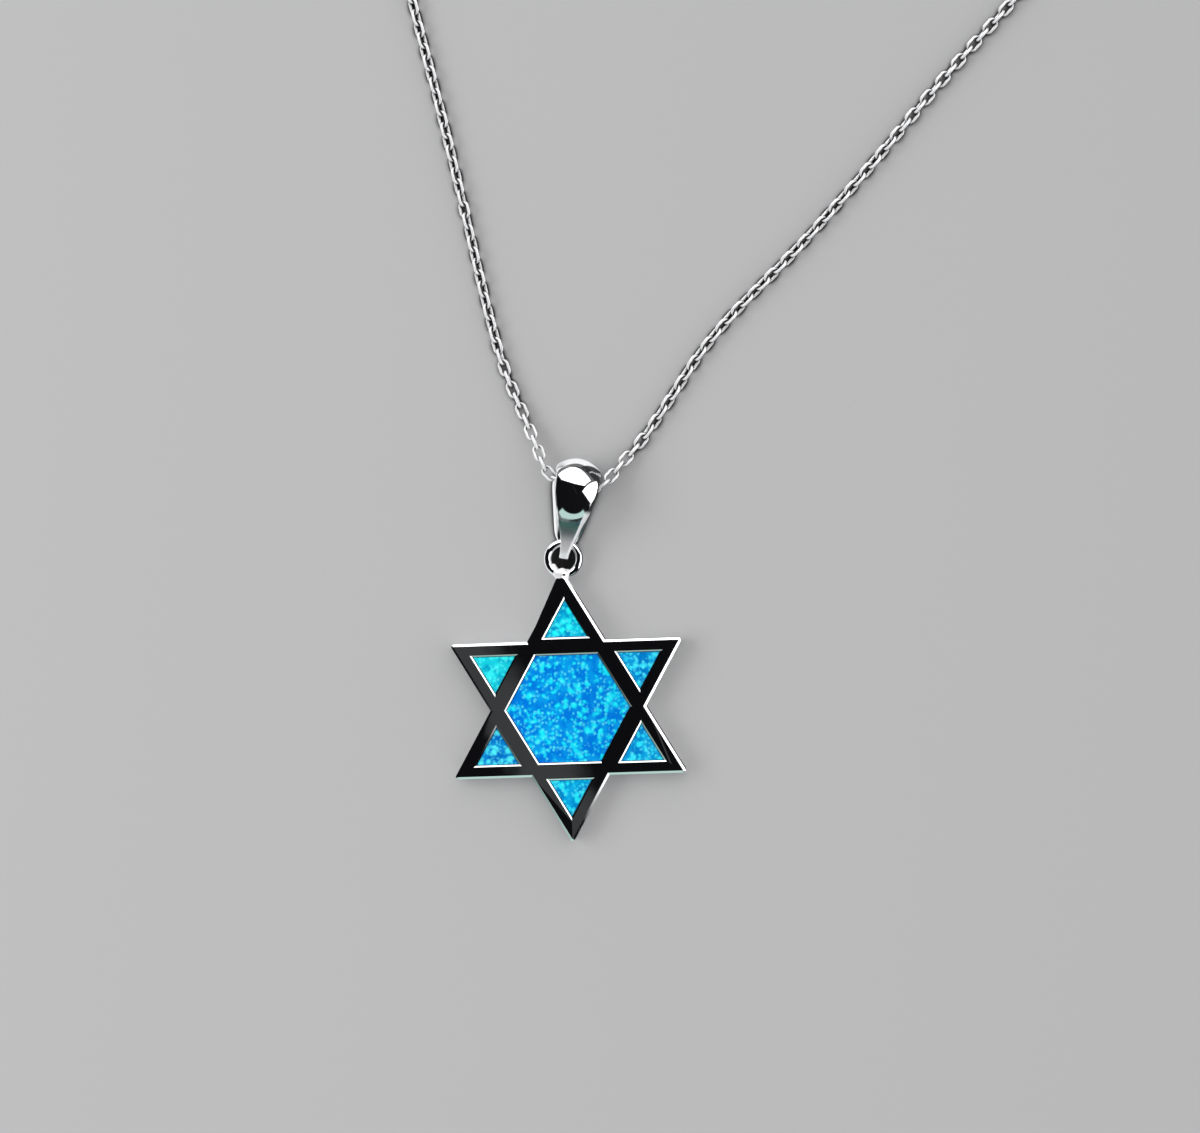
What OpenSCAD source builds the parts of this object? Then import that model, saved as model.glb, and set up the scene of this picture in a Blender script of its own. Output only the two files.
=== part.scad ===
// Six-pointed star pendant with opal inlays, lying on its back on a fine cable chain necklace.
// Sizes are in millimetres. The middle of the star's back is the origin, the hanging ring is towards +Y,
// and the plane z = 0 is the surface that everything rests on.

/* [Star] */
// Distance from the middle of the star to the corner of each point, before it is rounded
star_tip_r = 11.5; // [11:0.1:14]
// Radius that rounds the corner of each point
point_round_r = 0.22; // [0.2:0.02:0.5]
// Thickness of the star
star_t = 1.8; // [1.5:0.1:2.6]
// Thickness of the closed back behind the inlays
back_t = 0.6; // [0.4:0.1:0.8]
// Width of the silver rim, from the outline to the wall of a pocket
rim_w = 1.1; // [0.8:0.05:1.3]
// Distance from the middle of the star to each wall of the middle pocket
middle_pocket_r = 4.6; // [4:0.1:5]
// Width of the bars between the middle pocket and the pockets in the points
bar_w = 1.45; // [1:0.05:1.6]
// Width of the bevel along each edge of the star's face
bevel_w = 0.19; // [0.08:0.01:0.19]
// Depth of the bevel
bevel_d = 0.13; // [0.05:0.01:0.17]
// Width of the bevel round the mouth of each pocket, which has the same slope
mouth_w = 0.11; // [0.05:0.01:0.19]

/* [Inlays] */
// Depth of an inlay's polished top below the silver face
inlay_sink = 0.22; // [0.18:0.02:0.5]
// Clearance around and below each inlay
inlay_gap = 0.04; // [0.02:0.01:0.1]

/* [Hanging ring] */
// Thickness of the ring's wire
ring_wire_d = 0.6; // [0.5:0.05:0.8]
// Radius of the hole in the ring
ring_hole_r = 1.06; // [1:0.02:1.6]
// How far the ring overlaps the corner of the star's top point
ring_overlap = 0.4; // [0.3:0.05:0.5]
// Width of the lump of solder that joins the ring to the point
solder_d = 1; // [0.8:0.05:1.2]
// Width of the solder that has run down the left side of the point
solder_run_w = 0.35; // [0.25:0.05:0.45]

/* [Bail] */
// Length of the folded bail, from its end in the ring to its top
bail_len = 8.75; // [8:0.05:10]
// Depth of the bail at its top bend, outside to outside
bail_depth = 3.6; // [3.4:0.1:5]
// Thickness of the bail's strip
bail_t = 0.4; // [0.3:0.05:0.5]
// Width of the slant along each edge of the strip, which leaves its inner face narrower than its outer face
bail_slant = 0.3; // [0.05:0.05:0.35]
// Width of the front leaf at the ring
bail_end_w = 1; // [0.8:0.05:1.2]
// Width of the front leaf at the top
bail_front_w = 3.5; // [3:0.05:5]
// Width of the back leaf at the ring
bail_back_end_w = 2; // [0.8:0.05:2]
// Width of the back leaf at the top
bail_back_w = 4.2; // [3:0.05:5]
// Rise of the middle of the front leaf above its edges, at the top
bail_crown = 0.9; // [0:0.05:1]
// Depth of the slight double curve along the front leaf
bail_wave = 0.2; // [0:0.05:0.4]
// Clearance between the faces of the ring's wire and the bail's small turn
turn_gap = 0.26; // [0.2:0.02:0.4]
// Clearance between the ring's wire and the bottom of the bail's small turn, which hangs in the ring's hole
turn_drop = 0.68; // [0.5:0.02:0.8]
// Turn of the bail to the right of the star's upright axis, in degrees
bail_lean = 11.5; // [0:0.5:20]
// Roll of the bail about its own length, in degrees, right edge down
bail_roll = 4; // [0:1:15]
// Clearance between the bail's lowest edge and the surface that the star lies on
rest_gap = 0.02; // [0.01:0.01:0.1]

/* [Chain and clasp] */
// Width of the chain across its links
chain_w = 1.1; // [0.9:0.05:1.3]
// Outside diameter of the clasp's ring
clasp_d = 5.6; // [5:0.1:7]
// Thickness of the clasp's ring
clasp_wire_d = 1.1; // [0.9:0.1:1.4]
// Outside diameter of each small eye on the clasp
eye_d = 1.8; // [1.6:0.1:2.2]
// Thickness of an eye's wire
eye_wire_d = 0.45; // [0.4:0.05:0.5]
// Clearance between an eye and the end of the chain
eye_gap = 0.1; // [0.05:0.05:0.3]

/* [Hidden] */
$fn = 64;
points = 6;

// Pockets in the points: an equal-sided triangle each, between its inner wall and its corner
point_pocket_in = middle_pocket_r + bar_w;
point_pocket_out = star_tip_r - 2 * rim_w;
point_pocket_r = (point_pocket_out - point_pocket_in) / 3;
// A block large enough to cut the whole star with
block = 4 * star_tip_r;
bevel_slope = atan2(bevel_d, bevel_w);
mouth_d = mouth_w * bevel_d / bevel_w;

// Bail: its two bends about lines across the strip, seen from the side with the ring's wire at the origin
turn_mid_r = ring_wire_d / 2 + turn_gap + bail_t / 2;
turn_out_r = turn_mid_r + bail_t / 2;
bend_mid_r = (bail_depth - bail_t) / 2;
bail_low_y = -ring_wire_d / 2 - turn_drop - bail_t;
turn_at = [bail_low_y + turn_out_r, 0];
bend_at = [bail_low_y + bail_len - bail_crown - bail_depth / 2, bail_depth / 2 - turn_out_r];
// Direction in which the front leaf faces, and the angle through which each bend runs
leaf_span = norm(bend_at - turn_at);
leaf_rise = atan2(bend_at[1] - turn_at[1], bend_at[0] - turn_at[0]);
front_faces = leaf_rise + acos((turn_mid_r - bend_mid_r) / leaf_span);
// Sections of the front leaf from the small turn to the top bend.
// Columns: share of the leaf, share of the widening from end to front width, share of the crown
front_sections = [
    [0.00, 0.02, 0.06],
    [0.15, 0.10, 0.12],
    [0.30, 0.25, 0.16],
    [0.45, 0.41, 0.22],
    [0.60, 0.60, 0.45],
    [0.75, 0.79, 0.80],
    [0.90, 0.93, 1.00],
    [1.00, 1.00, 1.00]
];
turn_steps = 9;
leaf_steps = 14;
bend_steps = 14;
back_steps = 6;
across_steps = 6;

// Tilt of the bail along its length that keeps the lower edge of the back leaf level
bail_pitch = asin((bail_back_w - bail_back_end_w) / 2 * sin(bail_roll) / (bend_at[0] - turn_at[0]));
// The ring stands high enough for the bail's small turn to clear the surface below the star
ring_mid_r = ring_hole_r + ring_wire_d / 2;
ring_y = star_tip_r - ring_overlap + ring_hole_r + ring_wire_d;
ring_z = turn_out_r - turn_at[0] * sin(bail_pitch) + bail_back_end_w / 2 * sin(bail_roll) + rest_gap;

// Route of the chain from the clasp round the left side, through the bail and back up the right side.
// Columns: x and y from the middle of the hanging ring, height above where the chain would lie on the surface
chain_route = [
    [20, 170.6, 0],
    [6.5, 167.4, 0],
    [-6, 158.6, 0],
    [-15.4, 145.6, 0],
    [-20.6, 129.6, 0],
    [-21.8, 112.6, 0],
    [-20.3, 95.2, 0],
    [-17.2, 77.7, 0],
    [-14, 61.7, 0],
    [-11.4, 48.5, 0],
    [-9.3, 39, 0],
    [-7.5, 30.2, 0],
    [-5.8, 21.6, 0],
    [-4.5, 16.4, 0],
    [-3, 12.4, 0.1],
    [-1.9, 9.6, 0.6],
    [-0.9, 6.6, 1.1],
    [0.9, 6, 0.9],
    [3.2, 6, 1],
    [4.3, 6.85, 0.7],
    [5.4, 8.1, 0.3],
    [7.1, 10, 0],
    [9.6, 13.4, 0],
    [12.4, 17.3, 0],
    [15.6, 20.8, 0],
    [21, 25.9, 0],
    [27, 32.2, 0],
    [33.5, 39.4, 0],
    [40, 46.2, 0],
    [48.5, 55.2, 0],
    [57.5, 66.7, 0],
    [65, 81.2, 0],
    [69.4, 97.7, 0],
    [70.2, 114.6, 0],
    [67.2, 130.6, 0],
    [60.6, 145.2, 0],
    [50.5, 157.6, 0],
    [40, 166.2, 0],
    [28.4, 170.6, 0]
];
chain_sides = 8;
chain_steps = 2;
clasp_at = (chain_route[0] + chain_route[len(chain_route) - 1]) / 2 + [0, ring_y, 0];
clasp_reach = norm(chain_route[0] - chain_route[len(chain_route) - 1]) / 2 - eye_gap;

function unit(v) = v / norm(v);
function heading(angle) = [cos(angle), sin(angle)];

// Value in the given column of a table whose first column rises, straight between its rows
function from_table(table, share, column) =
    lookup(share, [for (row = table) [row[0], row[column]]]);

// Point on the smooth curve through the points p, at the share t of the way from point i to the next
function curve_point(p, i, t) =
    let (
        last = len(p) - 1,
        a = i > 0 ? p[i - 1] : 2 * p[0] - p[1],
        b = p[i],
        c = p[i + 1],
        d = i < last - 1 ? p[i + 2] : 2 * p[last] - p[last - 1]
    )
    (2 * b + (c - a) * t + (2 * a - 5 * b + 4 * c - d) * t * t + (3 * b - a - 3 * c + d) * t * t * t) / 2;

function smooth_route(p, steps) = [
    for (i = [0:len(p) - 2])
        for (k = [0:steps - 1])
            curve_point(p, i, k / steps),
    p[len(p) - 1]
];

// Everything under a plane that leans inwards over the edge at distance r from the middle
module under_bevel(angle, r) {
    rotate(angle)
        translate([r - bevel_w, 0, star_t])
            rotate([0, bevel_slope, 0])
                translate([-block / 2, -block / 2, -block])
                    cube(block);
}

// Everything over a plane that leans outwards from the wall at distance r from the middle
module inside_flare(angle, r) {
    rotate(angle)
        translate([r, 0, star_t - mouth_d])
            rotate([0, -bevel_slope, 0])
                translate([-block / 2, -block / 2, 0])
                    cube(block);
}

// One of the star's two crossed triangles, with bevelled sides and rounded, bevelled corners
module big_triangle() {
    corner_at = star_tip_r - 2 * point_round_r;
    corners = [90, 210, 330];
    outline = [
        for (angle = corners)
            let (at = corner_at * heading(angle))
                each [at + point_round_r * heading(angle - 60), at, at + point_round_r * heading(angle + 60)]
    ];
    intersection() {
        linear_extrude(star_t)
            polygon(outline);
        under_bevel(30, star_tip_r / 2);
        under_bevel(150, star_tip_r / 2);
        under_bevel(270, star_tip_r / 2);
    }
    for (angle = corners) {
        rotate(angle)
            translate([corner_at, 0, 0])
                cylinder(r = point_round_r, h = star_t - bevel_d);
        rotate(angle)
            translate([corner_at, 0, star_t - bevel_d])
                cylinder(r1 = point_round_r, r2 = point_round_r - bevel_w, h = bevel_d);
    }
}

// Shape of an equal-sided pocket or inlay whose walls are at distance r from its own middle
module cell_outline(sides, r) {
    circle(r = r / cos(180 / sides), $fn = sides);
}

// Space of one pocket, open at the face, where its mouth flares to a bevelled edge
module pocket(sides, r) {
    translate([0, 0, back_t])
        linear_extrude(star_t)
            cell_outline(sides, r);
    intersection() {
        translate([-block / 2, -block / 2, back_t])
            cube(block);
        intersection_for(k = [0:sides - 1])
            inside_flare((k + 0.5) * 360 / sides, r);
    }
}

// Moves a piece from the middle of the star to the pocket in the point with the given number
module at_point(number) {
    rotate(90 - (number - 1) * 360 / points)
        translate([point_pocket_in + point_pocket_r, 0, 0])
            children();
}

module hanging_ring() {
    translate([0, ring_y, ring_z])
        rotate_extrude()
            translate([ring_mid_r, 0])
                circle(d = ring_wire_d, $fn = 32);
    translate([0, ring_y - ring_mid_r, ring_z])
        rotate([0, 90, 0])
            sphere(d = solder_d);
}

// Solder along the left side of the top point, a thin wedge that ends below the bevel
module solder_run() {
    notch = star_tip_r / sqrt(3) * heading(120);
    top = notch + 0.9 * (star_tip_r * heading(90) - notch) + solder_run_w * heading(150);
    linear_extrude(star_t - 2 * bevel_d)
        polygon([0.98 * notch, top, [0, top[1]]]);
}

module star_frame() {
    color([0.8, 0.81, 0.83]) {
        difference() {
            for (turn = [0, 180 / 3])
                rotate(turn)
                    big_triangle();
            pocket(points, middle_pocket_r);
            for (number = [1:points])
                at_point(number)
                    pocket(3, point_pocket_r);
        }
        solder_run();
        hanging_ring();
    }
}

// Polished opal that fills a pocket up to a little below the silver face
module inlay(sides, r) {
    color([0.05, 0.6, 0.9])
        translate([0, 0, back_t + inlay_gap])
            linear_extrude(star_t - inlay_sink - back_t - inlay_gap)
                cell_outline(sides, r - inlay_gap);
}

module opal_center() {
    inlay(points, middle_pocket_r);
}

module opal(number) {
    at_point(number)
        inlay(3, point_pocket_r);
}

// Stations round a bend of the bail, on the middle of its strip. The width changes over the given share of
// the bend and then stays, and the crown flattens over its second half.
// Columns: y, z, direction in which the strip's outer face looks, width, crown
function round_bend(at, r, from, to, steps, width_from, width_to, width_share, crown) = [
    for (k = [0:steps - 1])
        let (
            t = k / steps,
            faces = from + (to - from) * t,
            place = at + r * heading(faces),
            widened = min(1, t / width_share)
        )
        [place[0], place[1], faces, width_from + (width_to - width_from) * widened, crown * min(1, 2 - 2 * t)]
];

front_start = turn_at + turn_mid_r * heading(front_faces);
front_end = bend_at + bend_mid_r * heading(front_faces);
back_start = bend_at + bend_mid_r * heading(-90);
back_end = turn_at + turn_mid_r * heading(-90);

bail_stations = concat(
    round_bend(turn_at, turn_mid_r, 270, front_faces, turn_steps, bail_back_end_w, bail_end_w, 0.3, 0),
    [
        for (k = [0:leaf_steps - 1])
            let (
                share = k / leaf_steps,
                wave = -bail_wave * sin(360 * share) * sin(180 * share),
                place = front_start + (front_end - front_start) * share + wave * heading(front_faces),
                widening = from_table(front_sections, share, 1)
            )
            [
                place[0], place[1], front_faces,
                bail_end_w + (bail_front_w - bail_end_w) * widening,
                bail_crown * from_table(front_sections, share, 2)
            ]
    ],
    round_bend(bend_at, bend_mid_r, front_faces, -90, bend_steps, bail_front_w, bail_back_w, 1, bail_crown),
    [
        for (k = [0:back_steps - 1])
            let (
                share = k / back_steps,
                place = back_start + (back_end - back_start) * share
            )
            [place[0], place[1], -90, bail_back_w + (bail_back_end_w - bail_back_w) * share, 0]
    ]
);

// Corners of the strip's section at one station: the outer face from left to right, then the inner face back
function strip_section(station) =
    let (
        place = [0, station[0], station[1]],
        out = [0, cos(station[2]), sin(station[2])],
        outer_half_w = station[3] / 2,
        inner_half_w = outer_half_w - bail_slant,
        shares = [for (k = [0:across_steps]) 2 * k / across_steps - 1]
    )
    concat(
        [for (s = shares) place + [s * outer_half_w, 0, 0] + (station[4] * (1 - s * s) + bail_t / 2) * out],
        [for (s = shares) place + [-s * inner_half_w, 0, 0] + (station[4] * (1 - s * s) - bail_t / 2) * out]
    );

// One folded strip that runs through the ring and over the chain
module bail() {
    count = len(bail_stations);
    corners = 2 * (across_steps + 1);
    strip_points = [
        for (station = bail_stations)
            each strip_section(station)
    ];
    faces = [
        for (i = [0:count - 1])
            for (j = [0:corners - 1])
                let (
                    next_i = (i + 1) % count,
                    next_j = (j + 1) % corners
                )
                [i * corners + j, next_i * corners + j, next_i * corners + next_j, i * corners + next_j]
    ];
    color([0.82, 0.83, 0.85])
        translate([0, ring_y, ring_z])
            rotate([0, 0, -bail_lean])
                translate([0, ring_mid_r, 0])
                    rotate([bail_pitch, 0, 0])
                        rotate([0, bail_roll, 0])
                            polyhedron(strip_points, faces);
}

// Round bar swept along a path, with a flat side below
module swept_tube(path, width, sides) {
    last = len(path) - 1;
    r = width / 2 / cos(180 / sides);
    rings = [
        for (i = [0:last])
            let (
                along = unit(path[min(i + 1, last)] - path[max(i - 1, 0)]),
                aside = unit(cross(along, [0, 0, 1])),
                up = cross(aside, along)
            )
            for (k = [0:sides - 1])
                let (angle = (k + 0.5) * 360 / sides)
                    path[i] + r * (cos(angle) * aside + sin(angle) * up)
    ];
    walls = [
        for (i = [0:last - 1])
            for (k = [0:sides - 1])
                let (next_k = (k + 1) % sides)
                    [i * sides + k, i * sides + next_k, (i + 1) * sides + next_k, (i + 1) * sides + k]
    ];
    first_end = [for (k = [sides - 1:-1:0]) k];
    last_end = [for (k = [0:sides - 1]) last * sides + k];
    polyhedron(rings, concat(walls, [first_end, last_end]));
}

// The whole chain as a plain bar of its width, nowhere lower than the surface
module chain() {
    stops = smooth_route(chain_route, chain_steps);
    path = [for (stop = stops) [stop[0], ring_y + stop[1], max(stop[2], 0) + chain_w / 2]];
    color([0.75, 0.76, 0.78])
        swept_tube(path, chain_w, chain_sides);
}

module wire_ring(outside_d, wire_d) {
    rotate_extrude()
        translate([(outside_d - wire_d) / 2, 0])
            circle(d = wire_d, $fn = 32);
}

// Closed ring with an eye on each side for the two ends of the chain
module clasp() {
    color([0.8, 0.81, 0.83])
        translate([clasp_at[0], clasp_at[1], clasp_wire_d / 2]) {
            wire_ring(clasp_d, clasp_wire_d);
            for (side = [-1, 1])
                translate([side * (clasp_reach - eye_d / 2), 0, 0])
                    wire_ring(eye_d, eye_wire_d);
        }
}

star_frame();
opal_center();
opal(1);  // opal_1
opal(2);  // opal_2
opal(3);  // opal_3
opal(4);  // opal_4
opal(5);  // opal_5
opal(6);  // opal_6
bail();
chain();
clasp();
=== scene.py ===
# %% [markdown]
# # A six-pointed star pendant on a fine silver chain
# The pendant lies on its back on a pale surface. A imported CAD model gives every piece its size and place.
# This lesson dresses it: some CAD pieces keep their shape and get a finish, and others are replaced by
# finer ones. Every length below is in metres, in the same frame as the CAD model. The middle of the
# star's back is the origin, +Y runs from the star towards the chain, and the surface is at Z = 0.

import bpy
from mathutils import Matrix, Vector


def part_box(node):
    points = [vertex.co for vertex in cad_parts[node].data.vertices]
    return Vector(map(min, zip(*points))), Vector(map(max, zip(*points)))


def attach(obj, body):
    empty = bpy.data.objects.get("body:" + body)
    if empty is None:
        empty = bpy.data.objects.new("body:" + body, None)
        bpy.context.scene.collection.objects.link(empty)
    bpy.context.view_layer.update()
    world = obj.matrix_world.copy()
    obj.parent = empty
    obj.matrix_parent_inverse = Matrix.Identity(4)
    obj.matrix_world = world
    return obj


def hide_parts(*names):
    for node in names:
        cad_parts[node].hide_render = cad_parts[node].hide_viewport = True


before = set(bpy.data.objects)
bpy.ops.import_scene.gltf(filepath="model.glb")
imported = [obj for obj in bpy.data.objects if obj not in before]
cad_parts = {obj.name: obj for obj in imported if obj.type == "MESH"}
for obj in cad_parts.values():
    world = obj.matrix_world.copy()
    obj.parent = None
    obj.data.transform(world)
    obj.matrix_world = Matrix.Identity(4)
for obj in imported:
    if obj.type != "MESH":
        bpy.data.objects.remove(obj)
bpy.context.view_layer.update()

# %% Modules and units
import math
import random

import bpy
from mathutils import Matrix, Vector

MM = 0.001
random.seed(7)
print("CAD nodes:", len(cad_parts))

# %% [markdown]
# Every modelling step starts from a known state, because an operator acts on all that is selected, and a
# freshly loaded model is selected all over. These helpers deselect everything, choose vertices, edges or
# faces by a test on their place, and finish a piece: its doubles are merged, its faces point outwards and
# its object sits at the origin.

# %% Selection and finishing helpers
def select_only(piece):
    bpy.ops.object.select_all(action="DESELECT")
    piece.select_set(True)
    bpy.context.view_layer.objects.active = piece


def edit(piece):
    select_only(piece)
    bpy.ops.object.mode_set(mode="EDIT")


def leave_edit():
    bpy.ops.object.mode_set(mode="OBJECT")


def centre_of(mesh, item):
    """The place of a vertex, or the middle of an edge or a face."""
    if isinstance(item, bpy.types.MeshVertex):
        return item.co
    corners = [mesh.vertices[k].co for k in item.vertices]
    return sum(corners, Vector()) / len(corners)


def choose(piece, kind, test, among_selected=False):
    """Selects only the vertices, edges or faces (kind VERT, EDGE or FACE) whose centre passes the test."""
    bpy.ops.mesh.select_mode(type=kind)
    bpy.ops.object.mode_set(mode="OBJECT")
    mesh = piece.data
    items = {"VERT": mesh.vertices, "EDGE": mesh.edges, "FACE": mesh.polygons}[kind]
    wanted = [(item.select or not among_selected) and test(centre_of(mesh, item)) for item in items]
    bpy.ops.object.mode_set(mode="EDIT")
    bpy.ops.mesh.select_all(action="DESELECT")
    bpy.ops.object.mode_set(mode="OBJECT")
    for item, want in zip(items, wanted):
        item.select = want
    bpy.ops.object.mode_set(mode="EDIT")


def settle(piece, name):
    """Names the piece, moves its place into its mesh, merges doubles and turns all faces outwards."""
    piece.name = name
    piece.data.name = name
    select_only(piece)
    bpy.ops.object.transform_apply(location=True, rotation=True, scale=True)
    edit(piece)
    bpy.ops.mesh.select_all(action="SELECT")
    bpy.ops.mesh.remove_doubles(threshold=0.0005 * MM)
    bpy.ops.mesh.normals_make_consistent(inside=False)
    leave_edit()
    return piece


def smooth_by_angle(piece, degrees):
    select_only(piece)
    bpy.ops.object.shade_smooth_by_angle(angle=math.radians(degrees))


def apply_modifier(piece, kind, **settings):
    select_only(piece)
    modifier = piece.modifiers.new(kind.title(), kind)
    for key, value in settings.items():
        setattr(modifier, key, value)
    bpy.ops.object.modifier_apply(modifier=modifier.name)


def size_in_mm(piece, axis):
    """How far a piece reaches along an axis: 0 is X, 1 is Y and 2 is Z."""
    places = [vertex.co[axis] for vertex in piece.data.vertices]
    return round((max(places) - min(places)) / MM, 2)


# %% [markdown]
# ## The bail
# The bail is one strip of silver folded into a loop. It is wide and domed on top, where the chain runs
# through it, and narrow where it passes through the hanging ring. It could be extruded section by section
# along its side view. The CAD piece already holds those sections, so it is quicker and truer to copy it,
# turn its triangles back into four-sided faces, round its long edges as a polisher does, and subdivide it
# until the reflections run smoothly.

# %% Copy the bail and stand it upright
def copy_of(node):
    piece = bpy.data.objects.new(node + "_copy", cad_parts[node].data.copy())
    bpy.context.scene.collection.objects.link(piece)
    return piece


def turn_about_ring(piece, degrees):
    """Turns a piece anticlockwise, seen from above. The operator counts the other way."""
    edit(piece)
    bpy.ops.mesh.select_all(action="SELECT")
    bpy.ops.transform.rotate(
        value=-math.radians(degrees), orient_axis="Z", center_override=(0, ring_middle_y, 0))
    leave_edit()


# The hanging ring and the bail's lean, as in the CAD model
RING_WIRE = 0.6 * MM
RING_HOLE_R = 1.06 * MM
BAIL_LEAN = 11.5
ring_top_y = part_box("star_frame")[1].y
ring_middle_y = ring_top_y - RING_WIRE - RING_HOLE_R

bail = copy_of("bail")
edit(bail)
bpy.ops.mesh.select_all(action="SELECT")
bpy.ops.mesh.remove_doubles(threshold=0.001 * MM)
bpy.ops.mesh.tris_convert_to_quads(
    face_threshold=math.radians(60), shape_threshold=math.radians(60), topology_influence=1.0)
leave_edit()
turn_about_ring(bail, BAIL_LEAN)
print("bail: faces", len(bail.data.polygons), "length upright", size_in_mm(bail, 1), "mm")

# %% [markdown]
# The front leaf swells a little in its middle and over the dome, as a hammered leaf does. A resize with
# proportional falloff does that. The small turn is pinched where the ring hides it, so that the narrow
# foot covers it from above.

# %% Swell the front leaf and pinch the small turn
SWELL = 1.08
SWELL_REACH = 2.2 * MM
# The leaf swells away from this line, more to the right than to the left
SWELL_FROM_X = -1.3 * MM
TURN_MIDDLE = (ring_middle_y + 0.94 * MM, 1.03 * MM)
TURN_OUTER_R = 1.1 * MM
# Columns: degrees from straight down, share of the width that is left
PINCHES = ((0, 0.5), (20, 0.6), (40, 0.78))
HALF_A_ROW = 9


def between(at, low, high):
    """Whether a place lies between two distances up from the middle of the ring, in millimetres."""
    return low * MM < at.y - ring_middle_y < high * MM


def on_front_leaf(at):
    return between(at, 1.8, 6.8) and at.z > 2 * MM


def turn_row(at, angle):
    """Whether a place is in the row of the small turn at so many degrees from straight down."""
    down = TURN_MIDDLE[1] - at.z
    out = TURN_MIDDLE[0] - at.y
    off = abs(math.degrees(math.atan2(out, down)) - angle)
    return math.hypot(down, out) < TURN_OUTER_R and off < HALF_A_ROW


edit(bail)
choose(bail, "VERT", on_front_leaf)
bpy.ops.transform.resize(
    value=(SWELL, 1, 1), center_override=(SWELL_FROM_X, 0, 0), use_proportional_edit=True,
    use_proportional_connected=True, proportional_edit_falloff="SMOOTH", proportional_size=SWELL_REACH)
for angle, share in PINCHES:
    choose(bail, "VERT", lambda at: turn_row(at, angle))
    bpy.ops.transform.resize(value=(share, 1, 1), center_override=(0, 0, 0))
leave_edit()
print("bail: widest", size_in_mm(bail, 0), "mm")

# %% [markdown]
# The bail's four long edges each run right round the loop. They are found where the back leaf is flat and
# then followed all the way. The two outer ones are rubbed rounder than the two inner ones.

# %% Round its long edges
INNER_ROUNDING = 0.05 * MM
OUTER_ROUNDING = 0.2 * MM
# The bail's curves are less sharp than this, in degrees, and its long edges are sharper
SHARPEST_CURVE = 46


def on_back_leaf(at):
    return between(at, 2.8, 5) and at.z < 0.95 * MM


def on_upper_side(at):
    """Whether a place on the back leaf is on its upper side. The leaf rolls a little down to the right."""
    return at.z > 0.37 * MM - 0.07 * at.x


def round_loops(piece, test, width):
    """Rounds the whole loops of the sharp edges that pass the test, and says how many edges they have."""
    edit(piece)
    bpy.ops.mesh.select_mode(type="EDGE")
    bpy.ops.mesh.select_all(action="DESELECT")
    bpy.ops.mesh.edges_select_sharp(sharpness=math.radians(SHARPEST_CURVE))
    choose(piece, "EDGE", test, among_selected=True)
    bpy.ops.mesh.loop_multi_select(ring=False)
    bpy.ops.object.mode_set(mode="OBJECT")
    count = sum(edge.select for edge in piece.data.edges)
    bpy.ops.object.mode_set(mode="EDIT")
    bpy.ops.mesh.bevel(offset=width, segments=2, affect="EDGES")
    leave_edit()
    return count


inner = round_loops(bail, lambda at: on_back_leaf(at) and on_upper_side(at), INNER_ROUNDING)
outer = round_loops(bail, lambda at: on_back_leaf(at) and not on_upper_side(at), OUTER_ROUNDING)
print("bail: edges rounded,", inner, "inside and", outer, "outside")

# %% [markdown]
# The bail leans to its side again, and two rounds of subdivision make its faces run smoothly.

# %% Lean it again and subdivide
turn_about_ring(bail, -BAIL_LEAN)
apply_modifier(bail, "SUBSURF", levels=2, render_levels=2)
settle(bail, "bail_polished")
smooth_by_angle(bail, 60)
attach(bail, "root")
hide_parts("bail")
print("bail: faces after subdividing", len(bail.data.polygons), "widest", size_in_mm(bail, 0), "mm")

# %% [markdown]
# ## The solder
# The hanging ring is soldered to the star's top point. Molten solder pulls itself into soft lumps, which
# no single ball shows. Several small balls are melted together here by remeshing them into one skin and
# smoothing it.

# %% Melt a few balls of solder together
SOLDER_HEIGHT = 1.05 * MM
ring_foot = Vector((0, ring_middle_y - RING_HOLE_R - RING_WIRE / 2, SOLDER_HEIGHT))

# Columns: x, y and z from the foot of the ring's wire, radius, all in millimetres
SOLDER_BALLS = [
    (-0.15, 0.05, 0.0, 0.52),
    (-0.6, 0.14, 0.05, 0.38),
    (-0.78, 0.42, 0.0, 0.33),
    (-0.88, 0.72, 0.0, 0.27),
    (0.3, 0.12, 0.02, 0.36),
    (0.05, -0.32, 0.12, 0.42),
    (-0.35, -0.36, 0.02, 0.4),
    (-0.1, 0.3, 0.18, 0.3)
]
balls = []
for x, y, z, radius in SOLDER_BALLS:
    bpy.ops.mesh.primitive_ico_sphere_add(
        subdivisions=3, radius=radius * MM, location=ring_foot + Vector((x, y, z)) * MM)
    balls.append(bpy.context.object)
bpy.ops.object.select_all(action="DESELECT")
for ball in balls:
    ball.select_set(True)
bpy.context.view_layer.objects.active = balls[0]
bpy.ops.object.join()
solder = bpy.context.object
apply_modifier(solder, "REMESH", mode="VOXEL", voxel_size=0.05 * MM)
apply_modifier(solder, "SMOOTH", factor=0.5, iterations=12)
settle(solder, "solder")
smooth_by_angle(solder, 180)
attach(solder, "root")
print("solder: faces", len(solder.data.polygons))

# %% [markdown]
# ## The opal inlays
# Each inlay is a slab of polished opal glued into its pocket, a little below the silver. Its rim is never
# a knife edge: polishing rounds it. A slab starts as a filled circle with three or six corners, is
# extruded to its height and gets a rounded upper rim with the bevel operator. The CAD node's own box
# tells its height, and its mesh its corners.

# %% Cut the seven slabs
RIM_ROUNDING = 0.07 * MM
# Vertices of a node that lie nearer than this, seen from above, are one corner
SAME_CORNER = 0.05 * MM


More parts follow.
